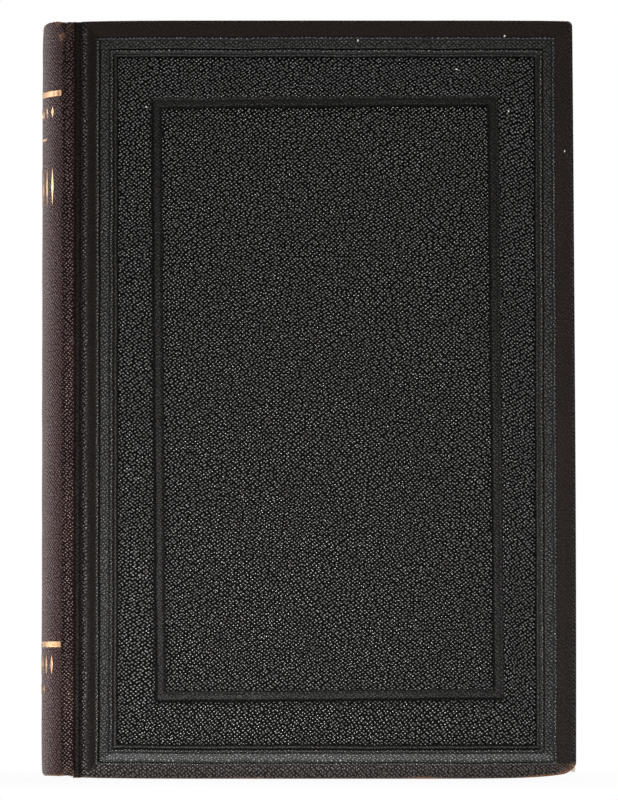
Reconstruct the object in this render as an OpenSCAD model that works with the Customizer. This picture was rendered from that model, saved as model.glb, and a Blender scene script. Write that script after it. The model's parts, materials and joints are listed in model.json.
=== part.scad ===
/* [Covers] */
// Height of each cover, head to tail
cover_h = 235; // [180:1:300]
// Width of each cover, joint edge to fore-edge
cover_w = 153.1; // [110:0.1:200]
// Thickness of the closed book over both covers
book_t = 38; // [30:1:60]
// Thickness of each millboard
board_t = 3; // [2:0.1:4]
// Thickness of the leather on the outside
leather_t = 0.8; // [0.6:0.1:1.2]
// Corner radius of the covers at the fore-edge
corner_r = 1.6; // [0.8:0.1:4]
// Corner radius where the front cover's tail corner is rubbed away
worn_corner_r = 4; // [1:0.1:8]

/* [Bevels] */
// How far each bevel falls below the face of the cover
bevel_drop = 1.8; // [0.8:0.1:2]
// Width of the bevel along the fore-edge
fore_bevel_w = 6.2; // [3:0.1:9]
// Width of the bevel along the head
head_bevel_w = 5.5; // [3:0.1:9]
// Width of the bevel along the tail
tail_bevel_w = 4.3; // [3:0.1:9]
// Width of the bevel along the joint
joint_bevel_w = 4.7; // [3:0.1:9]

/* [Blind tooling] */
// Plain land between the top of the bevel and the smooth band
land_w = 0.8; // [0.3:0.1:1]
// Width of the smooth band of the outer frame
band_w = 2.6; // [1.5:0.1:5]
// Depth of the smooth bands
band_depth = 0.25; // [0.1:0.05:0.3]
// Width of each fine tooled line
line_w = 0.45; // [0.3:0.05:0.8]
// Depth of each fine tooled line
line_depth = 0.4; // [0.1:0.05:0.5]
// Width of the grained ridge between two fine lines
ridge_w = 0.8; // [0.4:0.1:1.5]
// Width of the smooth bead beside the panel
bead_w = 0.75; // [0.4:0.05:1.5]
// Distance from the top of the bevel to the inner fillet, at the sides
fillet_side = 17; // [12:0.1:30]
// Distance from the top of the bevel to the inner fillet, at head and tail
fillet_end = 19; // [12:0.1:30]
// Width of the sunk inner fillet
fillet_w = 3.4; // [1.5:0.1:5]
// Angle by which the inner fillet of the front cover is tooled out of true
fillet_turn = 0.45; // [0:0.05:1]
// How far the inner fillet of the front cover lies towards the fore-edge
fillet_shift_x = 0.3; // [0:0.1:1]
// How far the inner fillet of the front cover lies towards the head
fillet_shift_y = 0.6; // [0:0.1:1]

/* [Joint and spine] */
// Width of the groove between cover and shoulder
groove_w = 1.7; // [1.4:0.1:3]
// Depth of the groove below the face of the cover
groove_depth = 3; // [2.6:0.1:3.4]
// Width of the raised shoulder beside the groove
shoulder_w = 4.2; // [4:0.1:7]
// How far the edge of the shoulder lies below the face of the cover
shoulder_drop = 2; // [1.6:0.1:2.6]
// How far the shoulder crowns above its own edges
shoulder_rise = 0.6; // [0.3:0.1:0.8]
// How far the rounded spine stands out behind the shoulders
spine_bulge = 6.7; // [5:0.1:9]
// Depth of the hinge line below the face of the cover
hinge_drop = 0.9; // [0.7:0.05:1.1]
// Free gap along the hinge line between the moving edges of leather
hinge_gap = 0.3; // [0.2:0.05:0.5]
// Thickness of the card that stiffens the spine
inlay_t = 0.7; // [0.4:0.1:1]
// Hollow between the spine card and the lined back of the pages
hollow_t = 0.9; // [0.8:0.1:1.4]

/* [Turn-ins and endpapers] */
// Width of the leather turned in over each board
turn_in_w = 14; // [8:0.5:20]
// Thickness of the pared leather of the turn-ins
turn_in_t = 0.35; // [0.2:0.05:0.5]
// Width of leather left bare round each pastedown
leather_border = 3.5; // [2:0.1:6]
// Thickness of the paper of the endpapers
endpaper_t = 0.2; // [0.15:0.05:0.3]
// Thickness of each pastedown where it laps over the turn-ins
paste_lap_t = 0.15; // [0.1:0.05:0.3]

/* [Pages and sewing] */
// How far the covers stand out beyond the pages at head and tail
square_end = 3.6; // [2:0.1:6]
// How far the covers stand out beyond the pages at the fore-edge
square_fore = 4; // [2:0.1:6]
// Thickness of the cloth glued over the back of the pages
mull_t = 0.3; // [0.2:0.05:0.5]
// Thickness of the paper lining over the cloth
lining_t = 0.3; // [0.2:0.05:0.5]
// Number of sewing cords let into the back of the pages
cord_count = 5; // [3:1:7]
// Diameter of a sewing cord
cord_d = 1.4; // [1:0.1:2]
// Width of the silk headbands
headband_w = 1.6; // [1.2:0.1:2.4]
// Height of the silk headbands above the pages
headband_h = 1.6; // [1:0.1:2.4]

/* [Gilding] */
// Depth to which the gilding is pressed into the spine
gilt_t = 0.12; // [0.08:0.01:0.2]
// Height of the upper gilt rule above the middle of the spine
upper_rule_y = 95; // [70:0.5:110]
// Height of the lower gilt rule above the middle of the spine
lower_rule_y = -76; // [-100:0.5:-60]
// Width of the upper and lower gilt rules
rule_w = 1.7; // [0.8:0.1:3]
// Height of the short gilt rule above the middle of the spine
short_rule_y = 81; // [60:0.5:90]
// Width of the short gilt rule
short_rule_w = 0.7; // [0.4:0.1:1.5]
// Angle between neighbouring lozenges of a row
lozenge_step = 9; // [5:0.5:9]
// Width of a lozenge
lozenge_w = 1.5; // [0.8:0.1:2.5]
// Number of lozenges in the head and tail rows
lozenge_count = 8; // [3:1:8]
// Number of lozenges in the tall row
tall_count = 8; // [3:1:8]
// Number of lozenges in the foot row
foot_count = 5; // [3:1:8]
// How far the head row lies below the upper rule
head_row_drop = 5.7; // [3.5:0.1:8]
// Height of the lozenges of the head row
head_row_h = 3.6; // [2:0.1:5]
// How far the tall row lies below the short rule
tall_row_drop = 14.8; // [9:0.1:20]
// Height of the lozenges of the tall row
tall_row_h = 12; // [6:0.5:16]
// How far the tail row lies below the lower rule
tail_row_drop = 6.2; // [5:0.1:8]
// Height of the lozenges of the tail row
tail_row_h = 6; // [2:0.1:8]
// How far the foot row lies below the lower rule
foot_row_drop = 13.8; // [12:0.1:16]
// Height of the lozenges of the foot row
foot_row_h = 3; // [2:0.1:4]

/* [Hidden] */
$fn = 96;
OVER = 1;            // how far a cutting shape runs past the face it cuts
CLEAR = 0.1;         // free space round a piece laid in a cut
JOINT_CLEAR = 0.25;  // free space between the pages and the leather of the joints
CARD_SHORT = 2;      // angle by which the spine card and the cords stop short of the shoulders
GILT_SHORT = 0.5;    // angle by which the long gilt rules stop short of the shoulders
SPREAD = 1;          // angle by which each lining of the back reaches past the layer outside it
mid_z = book_t / 2;
width_all = cover_w + groove_w + shoulder_w + spine_bulge;
fore_x = width_all / 2;
joint_x = fore_x - cover_w;
shoulder_x = joint_x - groove_w;
spine_edge_x = shoulder_x - shoulder_w;
hinge_x = joint_x - groove_w / 2;
hinge_z = book_t - hinge_drop;
groove_z = book_t - groove_depth;

// Heights of the layers of the front cover, from outside to inside
board_top_z = book_t - leather_t;
board_low_z = board_top_z - board_t;
turn_in_z = board_low_z - turn_in_t;
paste_low_z = turn_in_z - paste_lap_t;
leaf_low_z = paste_low_z - endpaper_t;

// The rounded back: one axis, and every layer is a radius about it
edge_z = book_t - shoulder_drop;
half_chord = edge_z - mid_z;
back_r = (pow(half_chord, 2) + pow(spine_bulge, 2)) / (2 * spine_bulge);
back_axis_x = -width_all / 2 + back_r;
edge_angle = asin(half_chord / back_r);
inlay_angle = edge_angle - CARD_SHORT;
rule_angle = edge_angle - GILT_SHORT;
lining_angle = edge_angle + SPREAD;
mull_angle = lining_angle + SPREAD;
inlay_r = back_r - leather_t;
hollow_r = inlay_r - inlay_t;
lining_r = hollow_r - hollow_t;
mull_r = lining_r - lining_t;
block_r = mull_r - mull_t;
crown_r = (pow(shoulder_w / 2, 2) + pow(shoulder_rise, 2)) / (2 * shoulder_rise);

// The pages
block_half = leaf_low_z - mid_z;
block_h = cover_h - 2 * square_end;
page_fore_x = fore_x - square_fore;
fore_axis_x = page_fore_x + sqrt(pow(block_r, 2) - pow(block_half, 2));
flank_x = shoulder_x - leather_t - JOINT_CLEAR;
shoulder_tip_z = edge_z - leather_t;
kerf_angle = asin((shoulder_tip_z - mid_z) / block_r) + SPREAD;
cord_angle = edge_angle - CARD_SHORT;
cord_pitch = block_h / (cord_count + 1);
cap_turn_in_w = 12;
lining_margin = 3;
mull_margin = 7;

// Insets of the tooled lines of the outer frame, measured from the top of the bevel
line_a = land_w + band_w;
line_b = line_a + line_w + ridge_w;
line_c = line_b + line_w + bead_w;

GILT_RULES = ["upper_gilt_rule", "short_gilt_rule", "lower_gilt_rule"];
GILT_ROWS = ["head_gilt_row", "tall_gilt_row", "tail_gilt_row", "foot_gilt_row"];

// Everything is drawn lying on its back cover, then stood on its tail with the front cover at -Y
module stand() {
  translate([0, 0, cover_h / 2]) rotate([90, 0, 0]) translate([0, 0, -mid_z]) children();
}

// Draws its children for the front cover, or mirrored for the back cover
module side(front) {
  if (front) children();
  else translate([0, 0, book_t]) mirror([0, 0, 1]) children();
}

// Runs a section drawn in x and z along the height of the book, centred
module along_spine(length) {
  translate([0, length / 2, 0]) rotate([90, 0, 0]) linear_extrude(length) children();
}

// Turns a profile of radius and height about the axis of the rounded back
module around_back(half_angle) {
  translate([back_axis_x, 0, mid_z]) rotate([-90, 0, 0]) rotate([0, 0, 180 - half_angle])
    rotate_extrude(angle = 2 * half_angle) children();
}

// A layer of the rounded back between two radii
module back_layer(r_in, r_out, half_angle, length) {
  around_back(half_angle) translate([r_in, -length / 2]) square([r_out - r_in, length]);
}

// Plan of a cover, with its fore-edge corners rounded
module cover_plan(inset, tail_r) {
  x0 = joint_x + inset;
  x1 = fore_x - inset;
  y1 = cover_h / 2 - inset;
  difference() {
    translate([x0, -y1]) square([x1 - x0, 2 * y1]);
    corner_cut(x1, y1, max(corner_r - inset, 0.2), 1);
    corner_cut(x1, y1, max(tail_r - inset, 0.2), -1);
  }
}

// What a rounded corner takes off a square one
module corner_cut(x, y, r, up) {
  difference() {
    translate([x - r, up > 0 ? y - r : -y - OVER]) square([r + OVER, r + OVER]);
    translate([x - r, up * (y - r)]) circle(r);
  }
}

// Section of the wedge that a bevel takes off, as distance from the edge and height
module bevel_section(w, inset) {
  slope = bevel_drop / w;
  level = book_t - bevel_drop - inset * sqrt(1 + pow(slope, 2));
  reach = w + 4 * OVER;
  polygon([
    [-OVER, level - slope * OVER], [reach, level + slope * reach],
    [reach, book_t + 4 * OVER], [-OVER, book_t + 4 * OVER]
  ]);
}

// A bevelled plate: the outside of the leather at inset 0, the board at the leather's thickness
module bevelled_plate(inset, low_z, tail_r) {
  long = cover_h + cover_w;
  difference() {
    translate([0, 0, low_z]) linear_extrude(book_t - inset - low_z) cover_plan(inset, tail_r);
    translate([joint_x, long / 2, 0]) rotate([90, 0, 0])
      linear_extrude(long) bevel_section(joint_bevel_w, inset);
    translate([fore_x, -long / 2, 0]) rotate([90, 0, 180])
      linear_extrude(long) bevel_section(fore_bevel_w, inset);
    translate([long / 2, cover_h / 2, 0]) rotate([90, 0, -90])
      linear_extrude(long) bevel_section(head_bevel_w, inset);
    translate([-long / 2, -cover_h / 2, 0]) rotate([90, 0, 90])
      linear_extrude(long) bevel_section(tail_bevel_w, inset);
  }
}

// Rectangle inside the top of the bevels, taken in at the sides and at the ends
module face_rectangle(in_side, in_end) {
  x0 = joint_x + joint_bevel_w + in_side;
  x1 = fore_x - fore_bevel_w - in_side;
  y0 = -cover_h / 2 + tail_bevel_w + in_end;
  y1 = cover_h / 2 - head_bevel_w - in_end;
  translate([x0, y0]) square([x1 - x0, y1 - y0]);
}

// A rectangular line pressed into the face of a cover
module pressed_frame(in_side, in_end, w, depth) {
  translate([0, 0, book_t - depth]) linear_extrude(depth + OVER) difference() {
    face_rectangle(in_side, in_end);
    face_rectangle(in_side + w, in_end + w);
  }
}

// The inner fillet, which on the front cover is turned and moved a little out of true
module inner_fillet(front) {
  face_mid_x = (joint_x + joint_bevel_w + fore_x - fore_bevel_w) / 2;
  shift = front ? [fillet_shift_x, fillet_shift_y] : [0, 0];
  translate([face_mid_x + shift[0], shift[1], 0]) rotate([0, 0, front ? fillet_turn : 0])
    translate([-face_mid_x, 0, 0]) pressed_frame(fillet_side, fillet_end, fillet_w, band_depth);
}

// All the blind tooling of one cover
module blind_tooling(front) {
  pressed_frame(land_w, land_w, band_w, band_depth);
  for (inset = [line_a, line_b, line_c]) pressed_frame(inset, inset, line_w, line_depth);
  pressed_frame(line_b + line_w - CLEAR, line_b + line_w - CLEAR, bead_w + 2 * CLEAR, CLEAR);
  inner_fillet(front);
}

// Area of the inside of a cover within a border along head, tail and fore-edge
module inside_rectangle(x0, border) {
  translate([x0, -cover_h / 2 + border]) square([fore_x - border - x0, cover_h - 2 * border]);
}

module board(front) {
  color("tan") stand() side(front)
    bevelled_plate(leather_t, board_low_z, front ? worn_corner_r : corner_r);
}

// Leather round a board: face, edges, turn-ins, and the strip that leads to the hinge line
module cover_leather(front) {
  tail_r = front ? worn_corner_r : corner_r;
  color([0.13, 0.12, 0.11]) stand() side(front) difference() {
    union() {
      bevelled_plate(0, turn_in_z, tail_r);
      translate([hinge_x + hinge_gap / 2, -cover_h / 2, groove_z - leather_t])
        cube([joint_x + leather_t / 2 - hinge_x - hinge_gap / 2, cover_h, leather_t]);
    }
    bevelled_plate(leather_t, board_low_z, tail_r);
    translate([0, 0, turn_in_z - OVER]) linear_extrude(board_low_z - turn_in_z + OVER)
      inside_rectangle(joint_x - OVER, turn_in_w);
    blind_tooling(front);
  }
}

// Endpaper pasted to the inside of a board, filled in level over the turn-ins
module pastedown(front) {
  color([0.86, 0.8, 0.66]) stand() side(front) {
    translate([0, 0, turn_in_z]) linear_extrude(board_low_z - turn_in_z)
      inside_rectangle(joint_x + leather_t, turn_in_w);
    translate([0, 0, paste_low_z]) linear_extrude(turn_in_z - paste_low_z)
      inside_rectangle(joint_x + leather_t, leather_border);
  }
}

// Free half of an endpaper, lying on the pages
module flyleaf(front) {
  color([0.88, 0.83, 0.7]) stand() side(front)
    translate([flank_x, -block_h / 2, leaf_low_z])
      cube([page_fore_x - flank_x, block_h, endpaper_t]);
}

// Section of the pages: flat faces, rounded back with two shoulders, hollow fore-edge
module block_section() {
  difference() {
    union() {
      translate([back_axis_x, mid_z - block_half])
        square([page_fore_x - back_axis_x, 2 * block_half]);
      intersection() {
        translate([back_axis_x, mid_z]) circle(block_r);
        union() {
          translate([-width_all / 2, mid_z - block_half])
            square([back_axis_x + OVER + width_all / 2, 2 * block_half]);
          translate([-width_all / 2, book_t - shoulder_tip_z])
            square([flank_x + width_all / 2, 2 * shoulder_tip_z - book_t]);
        }
      }
    }
    translate([fore_axis_x, mid_z]) circle(block_r);
  }
}

// The pages, with saw kerfs across the whole back for the sewing cords
module text_block() {
  color([0.87, 0.8, 0.65]) stand() difference() {
    along_spine(block_h) block_section();
    for (i = [1 : cord_count])
      around_back(kerf_angle)
        translate([block_r - cord_d - CLEAR, cord_y(i) - cord_d / 2 - CLEAR])
          square([cord_d + OVER, cord_d + 2 * CLEAR]);
  }
}

function cord_y(i) = block_h / 2 - i * cord_pitch;

module sewing_cord(i) {
  color([0.8, 0.74, 0.6]) stand() around_back(cord_angle)
    translate([block_r - cord_d / 2 - CLEAR / 2, cord_y(i)]) circle(cord_d / 2);
}

// Silk headband, a rounded cord on the end of the pages that follows the back
module headband(up) {
  r = headband_w / 2;
  color([0.6, 0.5, 0.35]) stand() around_back(cord_angle) {
    translate([block_r - headband_w, up > 0 ? block_h / 2 : -block_h / 2 - headband_h + r])
      square([headband_w, headband_h - r]);
    translate([block_r - r, up * (block_h / 2 + headband_h - r)]) circle(r);
  }
}

// Leather of the spine: rounded back, two crowned shoulders and the strips down to the hinge lines
module spine_leather_section() {
  wedge = 2 * back_r;
  translate([back_axis_x, mid_z]) intersection() {
    difference() {
      circle(back_r);
      circle(inlay_r - CLEAR);
    }
    polygon([
      [0, 0], [-wedge * cos(edge_angle), wedge * sin(edge_angle)],
      [-wedge * cos(edge_angle), -wedge * sin(edge_angle)]
    ]);
  }
  shoulder_section();
  translate([0, book_t]) mirror([0, 1]) shoulder_section();
}

module shoulder_section() {
  floor_z = groove_z - leather_t;
  intersection() {
    translate([spine_edge_x + shoulder_w / 2, edge_z + shoulder_rise - crown_r]) difference() {
      circle(crown_r);
      circle(crown_r - leather_t);
    }
    translate([spine_edge_x, edge_z - 2 * leather_t]) square([shoulder_w, 4 * leather_t]);
  }
  translate([shoulder_x - leather_t, floor_z]) square([leather_t, edge_z - floor_z]);
  translate([shoulder_x - leather_t, floor_z])
    square([hinge_x - hinge_gap / 2 - shoulder_x + leather_t, leather_t]);
}

// The spine's leather is pressed round the card, so the card lies in a shallow seat between the two caps
module spine_leather() {
  cap_r = hollow_r - turn_in_t;
  color([0.16, 0.13, 0.12]) stand() difference() {
    union() {
      along_spine(cover_h) spine_leather_section();
      for (up = [-1, 1]) around_back(inlay_angle) {
        translate([cap_r, up > 0 ? cover_h / 2 - leather_t : -cover_h / 2])
          square([inlay_r - cap_r + CLEAR, leather_t]);
        translate([cap_r, up > 0 ? cover_h / 2 - cap_turn_in_w : -cover_h / 2])
          square([turn_in_t, cap_turn_in_w]);
      }
    }
    inlay_shape();
    for (piece = concat(GILT_RULES, GILT_ROWS)) gilt_shape(piece);
  }
}

module inlay_shape() {
  back_layer(hollow_r, inlay_r, inlay_angle, cover_h - 2 * leather_t);
}

module spine_inlay() {
  color([0.55, 0.45, 0.33]) stand() inlay_shape();
}

module spine_lining() {
  color([0.78, 0.72, 0.6]) stand()
    back_layer(mull_r, lining_r, lining_angle, block_h - 2 * lining_margin);
}

module spine_mull() {
  color([0.85, 0.82, 0.72]) stand()
    back_layer(block_r, mull_r, mull_angle, block_h - 2 * mull_margin);
}

// Gilding across the back, pressed in flush with the leather
module gilt_band(y, w, half_angle) {
  around_back(half_angle) translate([back_r - gilt_t, y - w / 2]) square([gilt_t, w]);
}

// A row of upright lozenges across the back, spaced by angle about its middle
module gilt_lozenges(y, tall, count) {
  intersection() {
    back_layer(back_r - gilt_t, back_r, edge_angle, cover_h);
    for (i = [0 : count - 1])
      translate([back_axis_x, y, mid_z]) rotate([0, (i - (count - 1) / 2) * lozenge_step - 90, 0])
        linear_extrude(back_r + OVER)
          polygon([[lozenge_w / 2, 0], [0, tall / 2], [-lozenge_w / 2, 0], [0, -tall / 2]]);
  }
}

// Shape of one gilt piece: rules first, then the rows of lozenges between and below them
module gilt_shape(piece) {
  if (piece == "upper_gilt_rule") gilt_band(upper_rule_y, rule_w, rule_angle);
  if (piece == "short_gilt_rule") gilt_band(short_rule_y, short_rule_w, rule_angle / 2);
  if (piece == "lower_gilt_rule") gilt_band(lower_rule_y, rule_w, rule_angle);
  if (piece == "head_gilt_row") gilt_lozenges(upper_rule_y - head_row_drop, head_row_h, lozenge_count);
  if (piece == "tall_gilt_row") gilt_lozenges(short_rule_y - tall_row_drop, tall_row_h, tall_count);
  if (piece == "tail_gilt_row") gilt_lozenges(lower_rule_y - tail_row_drop, tail_row_h, lozenge_count);
  if (piece == "foot_gilt_row") gilt_lozenges(lower_rule_y - foot_row_drop, foot_row_h, foot_count);
}

module gilding(piece) {
  color([0.78, 0.6, 0.27]) stand() gilt_shape(piece);
}

text_block();
flyleaf(true);  // front_flyleaf
flyleaf(false);  // back_flyleaf
pastedown(true);  // front_pastedown
pastedown(false);  // back_pastedown
board(true);  // front_board
board(false);  // back_board
cover_leather(true);  // front_cover_leather
cover_leather(false);  // back_cover_leather
spine_leather();
spine_inlay();
spine_lining();
spine_mull();
headband(1);  // head_band
headband(-1);  // tail_band
for (i = [1 : cord_count])
  sewing_cord(i);
for (piece = concat(GILT_RULES, GILT_ROWS))
  gilding(piece);
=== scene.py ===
import json
import math

import bmesh
import bpy
import numpy as np
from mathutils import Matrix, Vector


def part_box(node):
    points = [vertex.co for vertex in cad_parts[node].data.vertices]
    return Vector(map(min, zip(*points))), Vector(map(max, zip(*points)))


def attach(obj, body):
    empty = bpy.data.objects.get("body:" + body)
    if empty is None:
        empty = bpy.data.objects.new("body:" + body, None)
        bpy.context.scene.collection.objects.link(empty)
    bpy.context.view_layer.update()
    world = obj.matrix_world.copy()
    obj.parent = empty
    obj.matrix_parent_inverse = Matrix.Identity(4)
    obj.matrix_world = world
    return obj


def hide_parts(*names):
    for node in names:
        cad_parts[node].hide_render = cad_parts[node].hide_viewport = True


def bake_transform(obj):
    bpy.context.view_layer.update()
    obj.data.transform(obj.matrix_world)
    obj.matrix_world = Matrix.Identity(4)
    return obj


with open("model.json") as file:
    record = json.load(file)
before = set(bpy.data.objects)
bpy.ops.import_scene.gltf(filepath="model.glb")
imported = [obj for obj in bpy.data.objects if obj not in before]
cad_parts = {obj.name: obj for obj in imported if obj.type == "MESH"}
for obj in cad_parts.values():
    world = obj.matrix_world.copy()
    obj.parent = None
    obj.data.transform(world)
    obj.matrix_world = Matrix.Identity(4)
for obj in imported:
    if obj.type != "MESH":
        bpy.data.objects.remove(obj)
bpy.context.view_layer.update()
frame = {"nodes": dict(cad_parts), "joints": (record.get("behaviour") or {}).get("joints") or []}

bl_info = {
    "name": "Antique Leather Book",
    "version": (1, 0, 0),
    "blender": (4, 5, 0),
    "location": "View3D > Sidebar > Book",
    "description": "Dresses a hollow-backed book in grained leather, paper, silk and gold leaf",
    "category": "Object",
}

MM = 0.001
FRONT, BACK = -1, 1          # the side of Y that each cover lies on
SPINE_BODY = "pages_and_spine"
BLACK = (0.0, 0.0, 0.0)
LEATHER_IOR = 1.65
GRAIN_TURN, GRAIN_SHEAR = 0.78, 0.16                       # how the rows of pebbles turn and lean
COVER_GLOSS, SPINE_GLOSS, JOINT_GLOSS = 0.29, 0.26, 0.4    # roughness of the tops of the pebbles
SPINE_TINT = (1.0, 0.76, 0.75, 1.0)                        # colour of the spine's gloss
NOISE_WAVES = 14             # cosine waves in one ripple
ON_FACE = 0.999              # share of the bevel from which a point lies on the face of a cover
PIVOT = Vector(frame["joints"][0]["pos_m"])

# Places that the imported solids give
LEATHER_LOW, LEATHER_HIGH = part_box("front_cover_leather")
BOARD_LOW, BOARD_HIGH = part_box("front_board")
PAGES_LOW, PAGES_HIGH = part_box("text_block")
SPINE_LOW, SPINE_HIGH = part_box("spine_leather")
LEAF_LOW, LEAF_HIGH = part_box("front_flyleaf")
PASTE_LOW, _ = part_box("front_pastedown")
HEIGHT = LEATHER_HIGH.z
FACE = -LEATHER_LOW.y                       # distance of a cover's face from the middle of the book
INNER = -LEATHER_HIGH.y                     # the same for the face of the turn-ins
LEATHER_T = BOARD_LOW.z
FORE_X = LEATHER_HIGH.x
JOINT_X = BOARD_LOW.x - LEATHER_T
GROOVE_W = 2 * (JOINT_X - PIVOT.x)
SHOULDER_X = JOINT_X - GROOVE_W

# Sizes that the boxes don't give
BACK_LAYERS = 3.0 * MM       # leather, card, hollow, lining and cloth over the back of the pages
BAND_W = 1.6 * MM            # width and height of a headband


# Helpers for meshes

def quads(rows, columns, closed=False):
    """Corner numbers of the cells of a grid of rows by columns; a closed grid joins its last column to its first."""
    r = np.arange(rows - 1)[:, None]
    c = np.arange(columns if closed else columns - 1)[None, :]
    following = (c + 1) % columns
    corners = [r * columns + c, r * columns + following, (r + 1) * columns + following, (r + 1) * columns + c]
    return np.stack(corners, -1).reshape(-1, 4)


def ripple(u, v, wavelength, seed):
    """Smooth noise of about unit size: the sum of cosine waves whose directions, lengths and phases are drawn
    once from a seed, divided by the square root of half their number."""
    rng = np.random.default_rng(seed)
    total = np.zeros(np.broadcast(u, v).shape)
    for _ in range(NOISE_WAVES):
        heading, phase = rng.uniform(0, 2 * math.pi, 2)
        number = 2 * math.pi / wavelength * rng.uniform(0.6, 1.7)
        total += np.cos(number * (u * math.cos(heading) + v * math.sin(heading)) + phase)
    return total / math.sqrt(NOISE_WAVES / 2)


def smooth_step(low, high, value):
    """0 below low, 1 above high and 3t^2 - 2t^3 between them."""
    t = np.clip((value - low) / (high - low), 0, 1)
    return t * t * (3 - 2 * t)


def make_piece(name, points, faces, material, attributes=None, merge=0.0, thickness=0.0):
    """A smooth mesh object from an array of points, with float or vector attributes on its points."""
    mesh = bpy.data.meshes.new(name)
    faces = faces if isinstance(faces, list) else faces.tolist()
    mesh.from_pydata(points.reshape(-1, 3).tolist(), [], faces)
    for key, values in (attributes or {}).items():
        vector = values.shape[-1] == 3 and values.ndim > 1 and values.size == points.size
        layer = mesh.attributes.new(key, "FLOAT_VECTOR" if vector else "FLOAT", "POINT")
        layer.data.foreach_set("vector" if vector else "value", values.astype(np.float32).ravel())
    if merge:
        bm = bmesh.new()
        bm.from_mesh(mesh)
        bmesh.ops.remove_doubles(bm, verts=bm.verts, dist=merge)
        bmesh.ops.recalc_face_normals(bm, faces=bm.faces)
        bm.to_mesh(mesh)
        bm.free()
    mesh.polygons.foreach_set("use_smooth", [True] * len(mesh.polygons))
    mesh.materials.append(material)
    mesh.update()
    piece = bpy.data.objects.new(name, mesh)
    bpy.context.scene.collection.objects.link(piece)
    if thickness:
        wall = piece.modifiers.new("Leather thickness", "SOLIDIFY")
        wall.thickness = thickness
        wall.offset = -1
    return piece


def mirrored(points, side):
    """Points drawn with Y as the distance from the middle of the book, put on one side of it."""
    return points * np.array([1.0, side, 1.0])


def dress(node, material):
    """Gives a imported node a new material."""
    slots = frame["nodes"][node].data.materials
    slots.clear()
    slots.append(material)


# Helpers for materials

def new_material(name):
    """A new material with its node tree and its shader."""
    material = bpy.data.materials.new(name)
    material.use_nodes = True
    return material, material.node_tree, material.node_tree.nodes["Principled BSDF"]


def add_node(tree, kind, inputs=None, **settings):
    """A node with some of its settings and input values or links given."""
    node = tree.nodes.new(kind)
    for key, value in settings.items():
        setattr(node, key, value)
    for key, value in (inputs or {}).items():
        if isinstance(value, bpy.types.NodeSocket):
            tree.links.new(value, node.inputs[key])
        else:
            node.inputs[key].default_value = value
    return node


def ramp(tree, value, *stops):
    """A colour ramp through stops of (position, colour)."""
    node = add_node(tree, "ShaderNodeValToRGB", {"Fac": value})
    elements = node.color_ramp.elements
    while len(elements) < len(stops):
        elements.new(0.5)
    for element, (position, colour) in zip(elements, stops):
        element.position = position
        element.color = (*colour, 1.0)
    return node.outputs["Color"]


def mapped(tree, value, low, high, new_low=0.0, new_high=1.0, kind="SMOOTHSTEP"):
    """A value carried from one range to another, held at its ends."""
    inputs = {"Value": value, "From Min": low, "From Max": high, "To Min": new_low, "To Max": new_high}
    return add_node(tree, "ShaderNodeMapRange", inputs, interpolation_type=kind).outputs["Result"]


def maths(tree, operation, a, b):
    return add_node(tree, "ShaderNodeMath", {0: a, 1: b}, operation=operation).outputs[0]


def plus(tree, a, b):
    return maths(tree, "ADD", a, b)


def times(tree, a, b):
    return maths(tree, "MULTIPLY", a, b)


def mixed(tree, factor, a, b):
    """A number between two others."""
    return add_node(tree, "ShaderNodeMix", {0: factor, 2: a, 3: b}).outputs[0]


def blended(tree, factor, a, b):
    """A colour between two others, each of them a socket or three numbers."""
    a, b = (c if isinstance(c, bpy.types.NodeSocket) else (*c, 1.0) for c in (a, b))
    return add_node(tree, "ShaderNodeMix", {0: factor, 6: a, 7: b}, data_type="RGBA").outputs[2]


def attribute(tree, name, output="Fac"):
    return add_node(tree, "ShaderNodeAttribute", attribute_name=name).outputs[output]


def object_place(tree):
    return add_node(tree, "ShaderNodeTexCoord").outputs["Object"]


def noise(tree, vector, scale, detail, roughness=0.5):
    inputs = {"Vector": vector, "Scale": scale, "Detail": detail, "Roughness": roughness}
    return add_node(tree, "ShaderNodeTexNoise", inputs).outputs["Fac"]


def surfaced(tree, shader, colour, roughness, height, depth):
    """Gives a shader its colour, its roughness and a bump of some depth."""
    bump = add_node(tree, "ShaderNodeBump", {"Height": height, "Distance": depth})
    for value, socket in ((colour, "Base Color"), (roughness, "Roughness"), (bump.outputs[0], "Normal")):
        tree.links.new(value, shader.inputs[socket])


def new_group(name, inputs, outputs):
    """A shader node group with named sockets: inputs as (name, kind, default) and outputs as (name, kind)."""
    tree = bpy.data.node_groups.new(name, "ShaderNodeTree")
    for label, kind, default in inputs:
        socket = tree.interface.new_socket(label, in_out="INPUT", socket_type="NodeSocket" + kind)
        if default is not None:
            socket.default_value = default
    for label, kind in outputs:
        tree.interface.new_socket(label, in_out="OUTPUT", socket_type="NodeSocket" + kind)
    entry = tree.nodes.new("NodeGroupInput").outputs
    return tree, entry, tree.nodes.new("NodeGroupOutput").inputs


def placed(tree, group, inputs):
    """A node group placed in a material with its own values, as its outputs."""
    return add_node(tree, "ShaderNodeGroup", inputs, node_tree=group).outputs


# Effects that several materials share

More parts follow.
